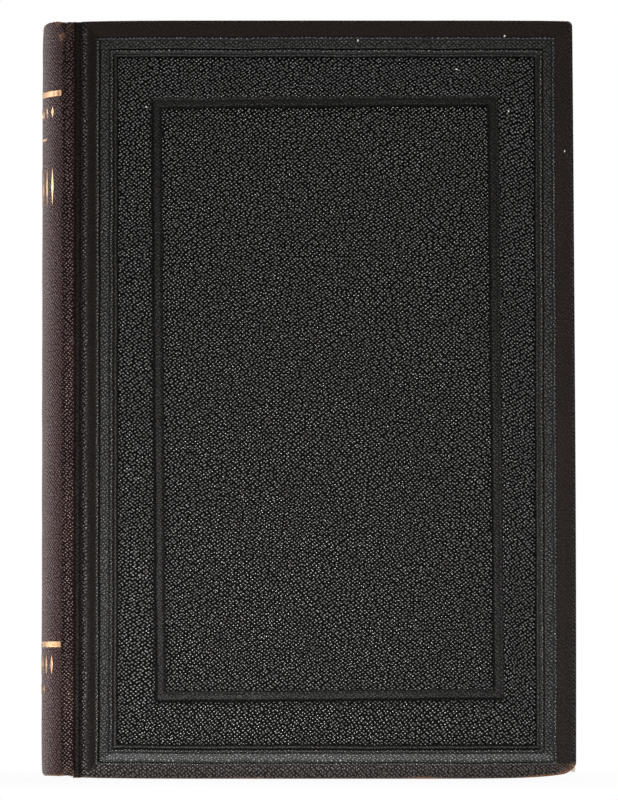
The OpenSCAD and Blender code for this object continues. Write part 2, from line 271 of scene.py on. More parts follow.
def pebble_grain():
    """Rounded pebbles in staggered, drifting rows: distance to the nearest point of a turned, sheared and gently
    warped cell pattern, turned over into domes, with fine pores on top. The vector is in metres, rolled out flat."""
    if "Pebble grain" in bpy.data.node_groups:
        return bpy.data.node_groups["Pebble grain"]
    tree, entry, leave = new_group(
        "Pebble grain",
        [("Vector", "Vector", None), ("Pitch", "Float", MM), ("Turn", "Float", GRAIN_TURN)],
        [("Height", "Float"), ("Crown", "Float")])
    drift = add_node(tree, "ShaderNodeTexNoise", {"Vector": entry["Vector"], "Scale": 34.0, "Detail": 1.0})
    shift = add_node(tree, "ShaderNodeVectorMath", {0: drift.outputs["Color"], 1: (0.0035, 0.0035, 0.0)},
                     operation="MULTIPLY")
    warped = add_node(tree, "ShaderNodeVectorMath", {0: entry["Vector"], 1: shift.outputs[0]}, operation="ADD")
    turned = add_node(tree, "ShaderNodeVectorRotate", {"Vector": warped.outputs[0], "Angle": entry["Turn"]},
                      rotation_type="Z_AXIS").outputs[0]
    sheared = [add_node(tree, "ShaderNodeVectorMath", {0: turned, 1: axis}, operation="DOT_PRODUCT").outputs["Value"]
               for axis in ((1.0, -GRAIN_SHEAR, 0.0), (0.0, 1.0, 0.0))]
    lattice = add_node(tree, "ShaderNodeCombineXYZ", {"X": sheared[0], "Y": sheared[1]})
    cells = add_node(tree, "ShaderNodeTexVoronoi",
                     {"Vector": lattice.outputs[0], "Scale": maths(tree, "DIVIDE", 1.0, entry["Pitch"]),
                      "Randomness": 0.42}, voronoi_dimensions="2D", feature="F1")
    dome = mapped(tree, cells.outputs["Distance"], 0.05, 0.66, 1.0, 0.0)
    pores = noise(tree, turned, 2600.0, 2.0, 0.6)
    small = noise(tree, turned, 620.0, 1.0)
    rough_dome = plus(tree, dome, times(tree, small, 0.36))
    tree.links.new(plus(tree, rough_dome, times(tree, pores, 0.10)), leave["Height"])
    tree.links.new(mapped(tree, rough_dome, 0.5, 1.12), leave["Crown"])
    return tree


def rubbed_edges():
    """Where a surface is rubbed: its wear value, broken up by noise of two sizes and cut off at a threshold."""
    if "Rubbed edges" in bpy.data.node_groups:
        return bpy.data.node_groups["Rubbed edges"]
    tree, entry, leave = new_group(
        "Rubbed edges",
        [("Vector", "Vector", None), ("Wear", "Float", 0.0), ("Amount", "Float", 0.5)],
        [("Rubbed", "Float"), ("Bare", "Float")])
    broad = noise(tree, entry["Vector"], 160.0, 4.0)
    fine = noise(tree, entry["Vector"], 1100.0, 3.0, 0.7)
    broken = plus(tree, times(tree, broad, 0.55), times(tree, fine, 0.45))
    level = plus(tree, times(tree, entry["Wear"], entry["Amount"]), broken)
    tree.links.new(mapped(tree, level, 0.78, 1.0), leave["Rubbed"])
    tree.links.new(mapped(tree, level, 1.02, 1.16), leave["Bare"])
    return tree


def leather_material(name, settings, colour, grain_depth, gloss):
    """Leather: grained or pressed smooth as its attribute says, with painted shade between the pebbles and a painted
    highlight on them, which are also polished, painted shade where its attribute marks hollows, faded brown on the
    bevels, rubbed pale along the edges and bare where it is worn through."""
    material, tree, shader = new_material(name)
    shader.inputs["IOR"].default_value = LEATHER_IOR
    flat = attribute(tree, "rolled_out", "Vector")
    grained = attribute(tree, "grained")
    # Mask of painted shade: in the tooled lines, in the joints and on the spine's sides.
    hollow = attribute(tree, "hollow")
    grain = placed(tree, pebble_grain(), {"Vector": flat, "Pitch": settings.grain_pitch, "Turn": GRAIN_TURN})
    rubbed = placed(tree, rubbed_edges(), {"Vector": flat, "Wear": attribute(tree, "wear"), "Amount": 0.62})
    crown = grain["Crown"]
    clouds = noise(tree, flat, 55.0, 4.0)
    fine = noise(tree, flat, 1500.0, 3.0)

    faded = times(tree, attribute(tree, "faded"), mapped(tree, clouds, 0.2, 0.7, 0.7, 1.2))
    base = blended(tree, faded, colour, settings.faded_colour)
    # Painted shade between the pebbles, towards black, and a painted highlight on their tops, towards pale.
    pebbles_painted_lit = blended(tree, crown, blended(tree, 0.9, base, BLACK), blended(tree, 0.015, base, (0.9, 0.8, 0.7)))
    surface = blended(tree, grained, blended(tree, 0.25, base, BLACK), pebbles_painted_lit)
    # Painted shade: colour darkened towards black where the hollow mask is set.
    surface = blended(tree, times(tree, hollow, 0.7), surface, BLACK)
    on_crowns = mixed(tree, grained, 1.0, mapped(tree, crown, 0.1, 0.8))
    surface = blended(tree, times(tree, rubbed["Rubbed"], on_crowns), surface, settings.rubbed_colour)
    surface = blended(tree, rubbed["Bare"], surface, settings.bare_colour)

    crown_gloss = mapped(tree, crown, 0.0, 1.0, 0.60, gloss)
    pressed_gloss = mapped(tree, clouds, 0.3, 0.7, gloss + 0.08, gloss + 0.20)
    roughness = mixed(tree, grained, pressed_gloss, crown_gloss)
    roughness = plus(tree, roughness, times(tree, rubbed["Bare"], 0.4))

    crown_sheen = mapped(tree, crown, 0.12, 0.78, 0.03, 1.1)
    pressed_sheen = mapped(tree, fine, 0.35, 0.7, 0.03, 0.20)
    sheen = mixed(tree, grained, pressed_sheen, crown_sheen)
    sheen = plus(tree, sheen, times(tree, attribute(tree, "polish"), 0.45))
    # Painted shade: gloss cut down where the hollow mask is set.
    sheen = times(tree, sheen, mapped(tree, hollow, 0.0, 1.0, 1.0, 0.12, "LINEAR"))
    tree.links.new(sheen, shader.inputs["Specular IOR Level"])

    height = times(tree, grain["Height"], mapped(tree, grained, 0.0, 1.0, 0.14, 1.0, "LINEAR"))
    height = plus(tree, height, times(tree, fine, 0.30))
    surfaced(tree, shader, surface, roughness, height, grain_depth)
    return material


def paper_material(name, colour, stain, streaked=False):
    """Aged paper: cloudy browning and small foxing spots; cut edges get streaks, one for each leaf, the darker ones
    painted shade between the leaves.
    """
    material, tree, shader = new_material(name)
    place = object_place(tree)
    clouds = noise(tree, place, 22.0, 8.0, 0.65)
    browned = tuple(0.6 * a + 0.4 * b for a, b in zip(colour, stain))
    surface = ramp(tree, clouds, (0.45, colour), (0.8, browned))
    foxed = mapped(tree, noise(tree, place, 260.0, 2.0), 0.68, 0.8, 0.0, 0.55)
    surface = blended(tree, foxed, surface, tuple(0.55 * c for c in stain))
    height = noise(tree, place, 1800.0, 3.0)
    depth = 0.03 * MM
    if streaked:
        leaves = add_node(tree, "ShaderNodeMapping", {"Vector": place, "Scale": (60.0, 5200.0, 60.0)})
        streaks = noise(tree, leaves.outputs[0], 1.0, 3.0, 0.7)
        # Painted shade: darker colour in the streaks between the leaves.
        between = blended(tree, 0.62, surface, (0.16, 0.10, 0.05))
        surface = blended(tree, mapped(tree, streaks, 0.3, 0.7), between, surface)
        height = plus(tree, height, times(tree, streaks, 2.0))
        depth = 0.09 * MM
    surfaced(tree, shader, surface, mapped(tree, clouds, 0.3, 0.8, 0.82, 0.95), height, depth)
    return material


# Finishes of fibre: colour, darker colour, streaks in a metre along each axis, and depth of the bump
FIBRES = {
    "Millboard": ((0.30, 0.19, 0.10), (0.14, 0.085, 0.045), (900, 2600, 900), 0.12 * MM),
    "Spine card": ((0.36, 0.26, 0.15), (0.22, 0.15, 0.08), (900, 900, 300), 0.08 * MM),
    "Mull": ((0.60, 0.53, 0.40), (0.38, 0.31, 0.21), (1500, 1500, 1500), 0.10 * MM),
    "Sewing cord": ((0.52, 0.43, 0.28), (0.30, 0.23, 0.13), (600, 600, 2600), 0.15 * MM),
    "Lining paper": ((0.55, 0.46, 0.32), (0.42, 0.33, 0.21), (400, 400, 400), 0.03 * MM),
    "Torn fibre": ((0.50, 0.27, 0.14), (0.12, 0.05, 0.025), (500, 500, 500), 0.05 * MM),
    "Pale flake": ((0.80, 0.78, 0.73), (0.55, 0.52, 0.46), (900, 900, 900), 0.03 * MM),
}


def fibre_material(name):
    """Board, thread, cloth or torn fibre: short streaks of two tones with a bump to match."""
    colour, dark, scale, depth = FIBRES[name]
    material, tree, shader = new_material(name)
    stretched = add_node(tree, "ShaderNodeMapping", {"Vector": object_place(tree), "Scale": scale})
    threads = noise(tree, stretched.outputs[0], 1.0, 4.0)
    surface = ramp(tree, threads, (0.35, dark), (0.65, colour))
    surfaced(tree, shader, surface, mapped(tree, threads, 0.3, 0.7, 0.9, 0.65), threads, depth)
    return material


def gold_material(settings):
    """Gold leaf on leather, rubbed through to the leather in patches."""
    material, tree, shader = new_material("Gold leaf")
    patches = noise(tree, object_place(tree), 420.0, 5.0, 0.7)
    kept = mapped(tree, patches, 0.30, 0.50)
    gold = tuple(settings.gold_colour)
    tone = ramp(tree, patches, (0.4, tuple(0.7 * c for c in gold)), (0.75, gold))
    tree.links.new(times(tree, kept, 0.9), shader.inputs["Metallic"])
    surface = blended(tree, kept, (0.05, 0.035, 0.025), tone)
    surfaced(tree, shader, surface, mapped(tree, kept, 0.0, 1.0, 0.6, 0.40), patches, 0.05 * MM)
    return material


def silk_material(settings):
    """Silk thread in two colours, changing every few turns, with the twist of its filaments as bump."""
    material, tree, shader = new_material("Headband silk")
    filaments = noise(tree, object_place(tree), 2400.0, 3.0)
    thread = blended(tree, attribute(tree, "strand"), settings.silk_colour, settings.silk_dark)
    soiled = blended(tree, mapped(tree, filaments, 0.4, 0.7, 0.0, 0.5), thread, (0.10, 0.06, 0.03))
    surfaced(tree, shader, soiled, mapped(tree, filaments, 0.3, 0.7, 0.42, 0.62), filaments, 0.05 * MM)
    return material


# Settings

def length(label, about, value):
    return bpy.props.FloatProperty(name=label, description=about, default=value, min=0.0, unit="LENGTH", precision=5)


def tint(label, about, value):
    return bpy.props.FloatVectorProperty(name=label, description=about, default=value, min=0.0, max=1.0,
                                         subtype="COLOR", size=3)


def tilt(label, about, degrees):
    return bpy.props.FloatProperty(name=label, description=about, default=math.radians(degrees), subtype="ANGLE")


def power(label, about, value):
    return bpy.props.FloatProperty(name=label, description=about, default=value, min=0.0, unit="POWER")


class BookLeather(bpy.types.PropertyGroup):
    cover_colour: tint("Cover leather", "Colour of the grained leather", (0.0150, 0.0140, 0.0131))
    faded_colour: tint("Faded leather", "Colour of the bevels and shoulders, faded brown", (0.0210, 0.0138, 0.0116))
    spine_colour: tint("Spine leather", "Colour of the smoother leather of the spine", (0.128, 0.057, 0.057))
    rubbed_colour: tint("Rubbed leather", "Colour where edges are rubbed", (0.115, 0.066, 0.045))
    bare_colour: tint("Bare leather", "Colour where the leather is worn through", (0.21, 0.088, 0.042))
    grain_pitch: length("Grain pitch", "Distance between the pebbles of the grain", 0.94 * MM)
    grain_depth: length("Grain depth", "Height of the pebbles on the covers", 0.36 * MM)
    spine_grain_depth: length("Spine grain depth", "Height of the pebbles on the spine and in the joints",
                              0.20 * MM)


class BookTooling(bpy.types.PropertyGroup):
    joint_bevel: length("Joint bevel", "Width of the bevel along the joint", 4.7 * MM)
    fore_bevel: length("Fore-edge bevel", "Width of the bevel along the fore-edge", 6.2 * MM)
    head_bevel: length("Head bevel", "Width of the bevel along the head", 5.5 * MM)
    tail_bevel: length("Tail bevel", "Width of the bevel along the tail", 4.3 * MM)
    bevel_drop: length("Bevel drop", "How far the bevels fall below the face", 1.8 * MM)
    depth: length("Tooling depth", "Depth of the blind-tooled lines", 0.4 * MM)
    band: length("Band", "Distance from the bevel to the first fine line, past the smooth band", 3.6 * MM)
    line_step: length("Line step", "Distance between the fine lines of the outer frame", 1.23 * MM)
    fillet_side: length("Fillet at sides", "Distance from the bevel to the inner fillet, at the sides", 17.0 * MM)
    fillet_end: length("Fillet at ends", "Distance from the bevel to the inner fillet, at head and tail", 19.0 * MM)
    fillet: length("Fillet", "Width of the inner fillet", 3.4 * MM)
    askew: tilt("Askew", "How far the inner fillet was tooled out of true", 0.45)
    shift_x: length("Shift across", "How far the inner fillet lies towards the fore-edge", 0.33 * MM)
    shift_z: length("Shift up", "How far the inner fillet lies towards the head", 0.6 * MM)
    corner: length("Corner", "Radius of the corners at the fore-edge", 1.6 * MM)
    worn_corner: length("Worn corner", "Radius of the rubbed corners at the tail", 4.0 * MM)


class BookSpine(bpy.types.PropertyGroup):
    shoulder_width: length("Shoulder", "Width of the raised shoulder beside the groove", 4.2 * MM)
    shoulder_drop: length("Shoulder drop", "How far a shoulder's edges lie below the cover's face", 2.0 * MM)
    shoulder_rise: length("Shoulder rise", "How far a shoulder crowns above its edges", 0.6 * MM)
    groove_depth: length("Groove depth", "Depth of the groove below the cover's face", 3.0 * MM)
    cap_roll: length("Cap roll", "Radius of the leather rolled over the ends of the spine", 0.95 * MM)


class BookPaper(bpy.types.PropertyGroup):
    page_colour: tint("Pages", "Colour of the cut edges of the pages", (0.56, 0.45, 0.30))
    leaf_colour: tint("Endpapers", "Colour of the endpapers", (0.56, 0.465, 0.325))
    stain_colour: tint("Stains", "Colour to which the paper has browned", (0.40, 0.28, 0.15))
    gatherings: bpy.props.IntProperty(name="Gatherings", description="Number of sewn sections", default=18, min=1)
    columns: bpy.props.IntProperty(name="Columns", description="Leaves drawn across the block", default=216, min=8)


class BookTrim(bpy.types.PropertyGroup):
    gold_colour: tint("Gold", "Colour of the gold leaf", (0.80, 0.47, 0.25))
    silk_colour: tint("Silk", "Pale thread of the headbands", (0.55, 0.45, 0.28))
    silk_dark: tint("Dark silk", "Dark thread of the headbands", (0.20, 0.09, 0.05))
    thread_pitch: length("Thread pitch", "Distance between the turns of silk", 0.55 * MM)


class BookStage(bpy.types.PropertyGroup):
    camera_distance: length("Camera distance", "From the camera to the front cover", 2.0)
    view_height: length("View height", "Height that the picture covers at the front cover", 247.4 * MM)
    look_up: tilt("Look up", "Angle by which the camera is tipped up", 2.4)
    low_light: power("Low light", "Power of the low front lamp", 0.95)
    side_light: power("Side light", "Power of the lamp on the spine side", 1.8)
    high_light: power("High light", "Power of the high front lamp", 0.8)
    back_light: power("Back light", "Power of the lamp behind the book", 10.0)
    fill: bpy.props.FloatProperty(name="Fill", description="Strength of the light all round", default=0.5, min=0.0)


SETTINGS = {
    "book_leather": BookLeather, "book_tooling": BookTooling, "book_spine": BookSpine,
    "book_paper": BookPaper, "book_trim": BookTrim, "book_stage": BookStage,
}


# Covers

SIDE_STEPS, END_STEPS, CORNER_STEPS = 150, 100, 6      # along the long sides, the ends and the corners of a cover
WORN_RISE = 1.95 * MM        # how far the tail edge is worn up at its rubbed corner


def frame_ring(x0, x1, z0, z1, radii):
    """Points round rectangles with rounded corners, one rectangle a row. Straight sides are divided evenly and
    corners are quarter circles about centres one radius in; radii go tail-fore, head-fore, head-joint, tail-joint."""
    arcs = np.linspace(0, 1, CORNER_STEPS + 1)[None, :]
    side = np.linspace(0, 1, SIDE_STEPS + 1)[None, 1:-1]
    end = np.linspace(0, 1, END_STEPS + 1)[None, 1:-1]
    a, b, c, d = (r[:, None] for r in radii)
    x0, x1, z0, z1 = (v[:, None] for v in (x0, x1, z0, z1))

    def corner(x, z, r, start):
        angle = (start + 90 * arcs) * math.pi / 180
        return x + r * np.cos(angle), z + r * np.sin(angle)

    def line(xa, za, xb, zb, t):
        return xa + (xb - xa) * t, za + (zb - za) * t

    parts = [
        line(x0 + d, z0, x1 - a, z0, end), corner(x1 - a, z0 + a, a, -90),
        line(x1, z0 + a, x1, z1 - b, side), corner(x1 - b, z1 - b, b, 0),
        line(x1 - b, z1, x0 + c, z1, end), corner(x0 + c, z1 - c, c, 90),
        line(x0, z1 - c, x0, z0 + d, side), corner(x0 + d, z0 + d, d, 180),
    ]
    return (np.concatenate([np.broadcast_to(p[i], (len(x0), p[i].shape[1])) for p in parts], 1) for i in (0, 1))


def side_shares():
    """For the columns of frame_ring, how much each belongs to tail, fore-edge, head and joint, and to the corner
    between tail and fore-edge."""
    runs = [END_STEPS - 1, CORNER_STEPS + 1, SIDE_STEPS - 1, CORNER_STEPS + 1] * 2
    marks = np.repeat([0, 0.5, 1, 1.5, 2, 2.5, 3, 3.5], runs)
    shares = [np.clip(1 - np.minimum(np.abs(marks - k), np.abs(marks - k - 4)) * 2 + 1, 0, 1) for k in range(4)]
    return [np.where(np.abs(marks - k) < 0.75, share, 0) for k, share in enumerate(shares)] + [(marks == 0.5) * 1.0]


def cover_profile(t):
    """Section of a cover's leather from the middle of its inside, round the edge and over the face to the middle.
    Each knot is (steps from the knot before, share of the bevel, inset past it at the sides and at the ends,
    height, grained, wear, path past the outline, inside); between knots everything changes evenly."""
    n, deep, m = FACE, t.depth, MM
    inner_rest = 0.5 * (FORE_X - JOINT_X)
    face_rest = inner_rest - 0.5 * (t.joint_bevel + t.fore_bevel)
    edge = n - t.bevel_drop
    thick = edge - INNER

    def knot(steps, inset, height, grained=0, wear=0):
        return steps, 1, inset, inset, height, grained, wear, 0, 0

    knots = [
        (1, 0, inner_rest, inner_rest, INNER, 0, 0, thick, 1),
        (5, 0, 14.0 * m, 14.0 * m, INNER, 0, 0, thick, 1),
        (8, 0, 0.55 * m, 0.55 * m, INNER, 0, 0.1, thick, 1),
        (2, 0, 0.15 * m, 0.15 * m, INNER + 0.12 * m, 0, 0.5, thick, 1),
        (2, 0, 0, 0, INNER + 0.5 * m, 0, 0.6, thick, 0),
        (5, 0, 0, 0, edge - 0.45 * m, 0.2, 0.6, 0.5 * m, 0),
        (3, 0.025, 0, 0, edge - 0.08 * m, 0.3, 1.0, 0.1 * m, 0),
        (2, 0.10, 0, 0, edge + 0.14 * m, 0.3, 0.7, 0, 0),
        (2, 0.18, 0, 0, edge + 0.30 * m, 0.1, 0.2, 0, 0),
        (6, 0.55, 0, 0, n - 0.72 * m, 0.0, 0.1, 0, 0),
        (6, 0.93, 0, 0, n - 0.16 * m, 0.0, 0.1, 0, 0),
        (2, 0.98, 0, 0, n + 0.02 * m, 0.8, 0.6, 0, 0),
        knot(2, 0.08 * m, n + 0.15 * m, 0.8, 0.9),
        knot(2, 0.46 * m, n + 0.12 * m, 0.8, 0.6),
        knot(2, 0.70 * m, n - 1.0 * deep),
        knot(1, 0.84 * m, n - 1.0 * deep),
        knot(2, 1.05 * m, n - 0.5 * deep, 0.25),
        knot(5, t.band - 0.28 * m, n - 0.5 * deep, 0.25),
    ]

    def fine_line(at, after, grained=0, wear=0):
        """A fine tooled line down to the full depth, and up again to the height of what follows it."""
        return [knot(2, at - 0.10 * m, n - 1.15 * deep), knot(1, at + 0.10 * m, n - 1.15 * deep),
                knot(2, at + 0.30 * m, after, grained, wear)]

    second, third = t.band + t.line_step, t.band + 2 * t.line_step
    knots += fine_line(t.band, n + 0.12 * m, 0.7, 0.6)
    knots += [knot(2, second - 0.30 * m, n + 0.12 * m, 0.7, 0.6)] + fine_line(second, n - 0.5 * deep, 0.15)
    knots += [knot(2, third - 0.30 * m, n - 0.5 * deep, 0.15)] + fine_line(third, n, 1, 0.05)
    a, w, extra = t.fillet_side, t.fillet, t.fillet_end - t.fillet_side
    fillet = [
        knot(9, a - 0.10 * m, n, 1, 0.2), knot(3, a + 0.42 * m, n - 1.25 * deep, 0.1),
        knot(1, a + 0.66 * m, n - 1.25 * deep, 0.1), knot(2, a + 1.0 * m, n - 1.0 * deep, 0.1),
        knot(4, a + w - 0.95 * m, n - 1.0 * deep, 0.1), knot(2, a + w - 0.66 * m, n - 1.25 * deep, 0.1),
        knot(1, a + w - 0.40 * m, n - 1.25 * deep, 0.1), knot(3, a + w + 0.10 * m, n, 1, 0.2),
        knot(16, face_rest, n, 1),
    ]
    knots += [(*k[:3], k[3] + extra, *k[4:]) for k in fillet]
    knots = np.array(knots, float)
    at = np.cumsum(knots[:, 0]) - knots[0, 0]
    fine = np.arange(int(at[-1]) + 1)
    return [np.interp(fine, at, knots[:, k]) for k in range(1, 9)]


def towards_worn_corner(x, z):
    """How near a point is to the rubbed corner along the tail edge, from 0 to 1."""
    return np.exp((x - FORE_X) / (8.5 * MM)) * (1 - smooth_step(0, 7 * MM, z))


def board_surface(t):
    """A millboard, worn back with its leather at the rubbed corner: rounded rectangles at the middle of its inside,
    at both sides of its square edge, at the top of its bevel and at the middle of its face."""
    share = np.array([0.0, 0.0, 0.0, 1.0, 1.0])
    inset = np.array([1.0, 0.0, 0.0, 0.0, 1.0]) * 0.5 * (BOARD_HIGH.x - BOARD_LOW.x - t.joint_bevel - t.fore_bevel)
    inset[0] = 0.5 * (BOARD_HIGH.x - BOARD_LOW.x)
    height = -np.array([BOARD_HIGH.y, BOARD_HIGH.y, BOARD_LOW.y + t.bevel_drop, BOARD_LOW.y, BOARD_LOW.y])
    x, z = frame_ring(BOARD_LOW.x + share * t.joint_bevel + inset, BOARD_HIGH.x - share * t.fore_bevel - inset,
                      BOARD_LOW.z + share * t.tail_bevel + inset, BOARD_HIGH.z - share * t.head_bevel - inset,
                      [np.where(inset + share > 0, 0.0, r) for r in (t.worn_corner - LEATHER_T, t.corner, 0, 0)])
    return np.stack([x, np.broadcast_to(height[:, None], x.shape), z + WORN_RISE * towards_worn_corner(x, z)], -1)


def unevenly_pressed(t, y, inset, face, at_sides, at_all):
    """Heights at which each tooled line has its own share of its depth on each side of the cover. Each line is
    given by its distance from the top of the bevel and its shares at tail, fore-edge, head and joint."""
    lines = (
        (0.77 * MM, 0.8, 0.5, 0.5, 1.2), (t.band, 0.55, 0.9, 0.95, 0.8),
        (t.band + t.line_step, 1.1, 0.65, 0.6, 0.95), (t.fillet_side + 0.54 * MM, 1.0, 0.8, 0.8, 1.0),
        (t.fillet_side + t.fillet - 0.53 * MM, 0.8, 0.9, 0.85, 0.9),
    )
    for centre, *shares in lines:
        factor = sum(share * at for share, at in zip(shares, at_sides)) / at_all
        pressed = (np.abs(inset - centre) < 0.2 * MM) & (face > ON_FACE)
        y = np.where(pressed, FACE + (y - FACE) * factor, y)
    return y


def out_of_true(t, x, z, inset, face, middle_x):
    """The inner fillet turned and moved as it was tooled, less and less towards the outer frame: new x and z."""
    amount = smooth_step(8 * MM, t.fillet_side - 0.5 * MM, inset) * (face > 0)
    turn = t.askew * amount
    across, up = x - middle_x, z - HEIGHT / 2
    return x + (amount * t.shift_x - turn * up), z + (amount * t.shift_z + turn * across)


def out_of_straight(x, z):
    """The outline of a used cover: the fore-edge wavers by a cosine of the height, and head and tail fall away
    exponentially towards their corners. Gives new x and z."""
    level = z / HEIGHT
    lean = 0.30 * np.cos(math.pi * (level - 0.2) / 0.8) - 0.3 * np.clip(level, 0, 1) ** 8
    x = x + lean * MM * np.exp(-(FORE_X - x) / (12 * MM))
    near_end = np.exp(-(x - JOINT_X) / (11 * MM)) + 0.6 * np.exp(-(FORE_X - x) / (9 * MM))
    return x, z + 0.40 * MM * near_end * (1 - 2 * level)


def cover_surface(t, side):
    """One cover's leather. Each point of the section becomes a rounded rectangle, taken in from the outline by
    the bevel's share of each side's own bevel width plus the inset, so that every corner mitres by itself.
    The joint side's frame is moved in a little. Smooth noise puffs the grained fields and lets the tooled lines
    waver, and a rounded bead runs along the joint. Wear is greatest on the edges, at the corners and along the
    tail near the rubbed corner. Painted shade is marked at the bottoms of the tooled lines and on the inner part
    of the joint's bevel."""
    share, inset_side, inset_end, height, grained, wear, path, inside = cover_profile(t)
    middle_x = (JOINT_X + t.joint_bevel + FORE_X - t.fore_bevel) / 2
    centre_x = np.where(inside > 0, (JOINT_X + FORE_X) / 2, middle_x)
    at_tail, at_fore, at_head, at_joint, at_corner = side_shares()
    in_frame = smooth_step(1.2 * MM, 3.0 * MM, inset_side) * (1 - smooth_step(7 * MM, 12 * MM, inset_side))
    moved = 0.45 * smooth_step(0.85, 1.0, share) * (1 - inside) + 0.30 * in_frame * (share == 1)

    def rings(out):
        x0 = np.minimum(JOINT_X + share * t.joint_bevel + inset_side - out + moved * MM, centre_x)
        x1 = np.maximum(FORE_X - share * t.fore_bevel - inset_side + out, centre_x)
        z0 = share * t.tail_bevel + inset_end - out
        z1 = HEIGHT - share * t.head_bevel - inset_end + out
        taken = share * t.tail_bevel + inset_side
        limit = np.maximum((x1 - x0) / 2, 0)
        corners = ((t.worn_corner, 0.12), (t.corner, 0.12), (0.5 * MM, 0.1), (0.5 * MM, 0.1))
        radii = [np.minimum(np.maximum(r - taken, least * MM), limit) for r, least in corners]
        return frame_ring(x0, x1, z0, z1, radii)

    x, z = rings(np.zeros_like(share))
    flat_x, flat_z = rings(path + np.where(inside > 0, inset_side, 0))
    shape = x.shape
    y, grained, wear, face, share, inset = (np.broadcast_to(v[:, None], shape).copy() for v in
                                            (height, grained, wear, share * (1 - inside), share, inset_side))
    seed = 10 if side == FRONT else 40
    at_all = np.maximum(at_tail + at_fore + at_head + at_joint, 1)
    y = unevenly_pressed(t, y, inset, face, (at_tail, at_fore, at_head, at_joint), at_all)
    slope = (face < 0.95) & (y > FACE - t.bevel_drop)
    # Painted shade at the bottoms of the tooled lines, darker the deeper they are pressed.
    hollow = smooth_step(0.75, 1.3, (FACE - y) / t.depth) * (face > ON_FACE)
    bead = np.exp(-((x - JOINT_X - 1.05 * MM) / (0.7 * MM)) ** 2) * at_joint * slope
    y += 0.30 * MM * bead - 0.15 * MM * np.exp(-((x - JOINT_X - 3.2 * MM) / (0.9 * MM)) ** 2) * at_joint * slope
    band = (face > ON_FACE) & (inset > MM) & (inset < t.band - 0.2 * MM)
    for field in (0.75 * bead, 0.4 * at_tail * slope, 0.35 * at_tail * band):
        grained = np.maximum(grained, field)
    polish = np.maximum(np.where((share > 0.95) & (wear > 0.3), 0.85 * wear, 0), 0.65 * at_tail * band)
    y -= 0.34 * MM * at_tail * band * (1 - (inset - MM) / (t.band - 1.2 * MM))
    # Painted shade on the inner part of the joint's bevel, past the bead.
    hollow = np.maximum(hollow, 0.5 * at_joint * slope * smooth_step(1.8 * MM, 2.6 * MM, x - JOINT_X))
    faded = np.where(face < 0.99, 1.0, 0.0) * (1 - 0.4 * at_joint - 0.3 * at_fore)
    on_edge = 1.25 * at_tail + 0.35 * at_fore + 0.30 * at_head + 0.25 * at_joint
    on_face = 0.8 * at_tail + 0.5 * at_fore + 0.4 * at_head + 0.5 * at_joint
    wear = wear * np.where(face > 0.95, on_face, on_edge) / at_all
    waver = smooth_step(0.9, 1.0, face) * 0.05 * MM
    x += waver * ripple(x, z, 26 * MM, seed)
    z += waver * ripple(x, z, 24 * MM, seed + 1)
    y += grained * smooth_step(0.9, 1.0, face) * 0.035 * MM * ripple(x, z, 7 * MM, seed + 2)
    y += face * 0.06 * MM * ripple(x, z, 45 * MM, seed + 3)
    if side == FRONT:
        x, z = out_of_true(t, x, z, inset, face, middle_x)
    x, z = out_of_straight(x, z)

    def corner_share(cx, cz, reach):
        return np.exp(-((x - cx) ** 2 + (z - cz) ** 2) / reach ** 2)

    rub = 0.8 * corner_share(FORE_X, HEIGHT, 2.8 * MM) + 0.3 * corner_share(FORE_X, 0, 3.0 * MM)
    rub += 0.4 * corner_share(JOINT_X, 0, 4 * MM)
    y -= 0.15 * MM * rub
    worn = corner_share(FORE_X - 1.0 * MM, 1.0 * MM, 6.0 * MM)
    outside = y > (FACE + INNER) / 2
    y -= np.where(outside, worn * (0.45 + 0.10 * ripple(x, z, 1.6 * MM, seed + 4)) * MM, 0)
    along = towards_worn_corner(x, z)
    z += WORN_RISE * along
    for place in (0.95 * corner_share(FORE_X - 1.0 * MM, 1.6 * MM, 1.9 * MM),
                  0.8 * at_corner * (face < 0.99) * corner_share(FORE_X, 0, 8 * MM),
                  0.9 * along * (1 - smooth_step(0.02, 0.14, share))):
        rub = np.maximum(rub, place)
    scuffs = np.clip(ripple(x, z, 38 * MM, seed + 5), 0, 2)
    wear = np.clip(wear * (0.55 + 0.45 * scuffs) + rub, 0, 2)
    rolled = np.stack([flat_x, flat_z, np.zeros_like(flat_x)], -1)
    return np.stack([x, y, z], -1), {"rolled_out": rolled, "grained": grained, "wear": wear, "faded": faded,
                                     "hollow": hollow, "polish": polish}


def make_cover(name, settings, side, material):
    """One cover's leather as an object."""
    points, attributes = cover_surface(settings, side)
    faces = quads(*points.shape[:2], closed=True)
    return make_piece(name, mirrored(points, side), faces, material, attributes, merge=0.002 * MM)


class BOOK_OT_covers(bpy.types.Operator):
    """Make both boards and their covering leather, with its bevels, turn-ins and blind tooling"""
    bl_idname = "book.covers"
    bl_label = "Boards and cover leather"

    def execute(self, context):
        leather = context.scene.book_leather
        material = leather_material("Cover leather", leather, leather.cover_colour, leather.grain_depth, COVER_GLOSS)
        tooling = context.scene.book_tooling
        millboard = fibre_material("Millboard")
        core = board_surface(tooling)
        for name, side in (("front", FRONT), ("back", BACK)):
            board = make_piece(name + "_board_core", mirrored(core, side), quads(*core.shape[:2], closed=True),
                               millboard, merge=0.002 * MM)
            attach(board, name + "_cover")
            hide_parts(name + "_board")
        for name, side in (("front_cover", FRONT), ("back_cover", BACK)):
            piece = make_cover(name + "_skin", tooling, side, material)
            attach(piece, name)
            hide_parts(name + "_leather")
        return {"FINISHED"}


# Spine

BACK_STEPS, CROWN_STEPS, TURN_STEPS = 74, 26, 8        # across the half back, a shoulder and its wall
BODY_ROWS, ROLL_STEPS = 200, 12                        # along the spine and round the roll of a cap


